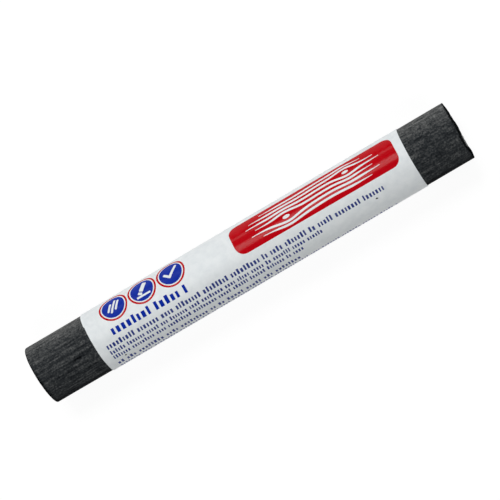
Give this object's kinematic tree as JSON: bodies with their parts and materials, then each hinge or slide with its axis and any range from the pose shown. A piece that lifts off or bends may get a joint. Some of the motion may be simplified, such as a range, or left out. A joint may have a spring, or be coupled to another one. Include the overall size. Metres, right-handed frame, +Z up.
{
  "type": "furniture repair wax stick",
  "caption": "Round stick of dark filler wax in a printed paper sleeve that slides along it, for filling scratches in furniture.",
  "frame": {"origin": "under the middle of the stick, on the surface that it lies on", "axes": "+X along the stick, from its long bare end to its short one; +Z up, with the printed panel on top"},
  "size_m": [0.0974, 0.013, 0.013],
  "materials": {
    "filler_wax": "satin",
    "coated_paper": "satin",
    "dry_glue": "satin",
    "red_ink": "gloss",
    "blue_ink": "satin"
  },
  "bodies": {
    "stick": {"wax_stick": "filler_wax"},
    "sleeve": {"paper_label": "coated_paper", "seam_glue": "dry_glue"}
  },
  "joints": [
    {"name": "sleeve_slide", "type": "slide", "parent": "stick", "child": "sleeve", "axis": [1, 0, 0], "range_m": [-0.0133, 0.0108]}
  ]
}
